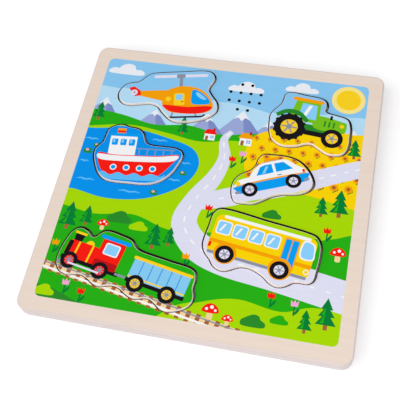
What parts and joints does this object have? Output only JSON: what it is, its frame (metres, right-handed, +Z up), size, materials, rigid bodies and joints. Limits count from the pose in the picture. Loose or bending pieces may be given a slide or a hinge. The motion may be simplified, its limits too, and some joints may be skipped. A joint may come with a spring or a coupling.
{
  "type": "wooden sound puzzle",
  "caption": "Square wooden board with vehicle pieces that lift out of cut-out recesses; a light sensor under each piece sets off a sound from a battery-powered speaker.",
  "frame": {"origin": "middle of the underside of the board", "axes": "+Z up out of the picture, +X to the right edge and +Y to the back edge of the picture"},
  "size_m": [0.3, 0.3, 0.0195],
  "materials": {
    "birch_face": "sanded, clear matt varnish",
    "birch_base": "sanded, clear matt varnish",
    "hardboard": "plain",
    "print_helicopter": "printed top, wood sides",
    "print_tractor": "printed top, wood sides",
    "print_boat": "printed top, wood sides",
    "print_car": "printed top, wood sides",
    "print_bus": "printed top, wood sides",
    "print_train": "printed top, wood sides",
    "steel": "zinc plated",
    "contact": "plated strip",
    "black_plastic": "moulded, fine texture",
    "laminate": "solder mask",
    "epoxy": "cured blob",
    "cone": "pressed paper",
    "felt": "felt ring",
    "ferrite": "dull",
    "lead": "soft insulation",
    "cell": "printed sleeve",
    "sensor_resin": "clear coat over a ceramic disc"
  },
  "bodies": {
    "board": {"face_board": "birch_face", "base_board": "birch_base", "back_panel": "hardboard", "sensor_helicopter": "sensor_resin", "sensor_lead_helicopter": "lead", "sensor_tractor": "sensor_resin", "sensor_lead_tractor": "lead", "sensor_boat": "sensor_resin", "sensor_lead_boat": "lead", "sensor_car": "sensor_resin", "sensor_lead_car": "lead", "sensor_bus": "sensor_resin", "sensor_lead_bus": "lead", "sensor_train": "sensor_resin", "sensor_lead_train": "lead", "circuit_board": "laminate", "sound_chip": "epoxy", "capacitor": "epoxy", "speaker_frame": "steel", "speaker_cone": "cone", "speaker_gasket": "felt", "speaker_magnet": "ferrite", "speaker_lead": "lead", "battery_box": "black_plastic", "battery_1": "cell", "battery_2": "cell", "contact_spring_1": "steel", "contact_spring_2": "steel", "bridge_contact": "contact", "plus_contact": "contact", "minus_contact": "contact", "battery_lead": "lead", "panel_screw_1": "steel", "panel_screw_2": "steel", "panel_screw_3": "steel", "panel_screw_4": "steel", "panel_screw_5": "steel", "panel_screw_6": "steel", "panel_screw_7": "steel", "panel_screw_8": "steel", "board_screw_1": "steel", "box_screw_1": "steel", "board_screw_2": "steel", "box_screw_2": "steel"},
    "piece_helicopter": {"piece_helicopter": "print_helicopter"},
    "piece_tractor": {"piece_tractor": "print_tractor"},
    "piece_boat": {"piece_boat": "print_boat"},
    "piece_car": {"piece_car": "print_car"},
    "piece_bus": {"piece_bus": "print_bus"},
    "piece_train": {"piece_train": "print_train"},
    "battery_door": {"battery_door": "black_plastic"},
    "door_screw": {"door_screw": "steel"}
  },
  "joints": [
    {"name": "lift_helicopter", "type": "slide", "parent": "board", "child": "piece_helicopter", "axis": [0, 0, 1], "range_m": [0, 0.045]},
    {"name": "lift_tractor", "type": "slide", "parent": "board", "child": "piece_tractor", "axis": [0, 0, 1], "range_m": [0, 0.045]},
    {"name": "lift_boat", "type": "slide", "parent": "board", "child": "piece_boat", "axis": [0, 0, 1], "range_m": [0, 0.045]},
    {"name": "lift_car", "type": "slide", "parent": "board", "child": "piece_car", "axis": [0, 0, 1], "range_m": [0, 0.045]},
    {"name": "lift_bus", "type": "slide", "parent": "board", "child": "piece_bus", "axis": [0, 0, 1], "range_m": [0, 0.045]},
    {"name": "lift_train", "type": "slide", "parent": "board", "child": "piece_train", "axis": [0, 0, 1], "range_m": [0, 0.045]},
    {"name": "door_hinge", "type": "hinge", "parent": "board", "child": "battery_door", "pos_m": [-0.006, 0.04955, 0.0013], "axis": [1, 0, 0], "range_deg": [0, 90]},
    {"name": "door_screw_turn", "type": "hinge", "parent": "battery_door", "child": "door_screw", "pos_m": [-0.006, -0.00485, 0.004], "axis": [0, 0, 1], "continuous": true}
  ]
}
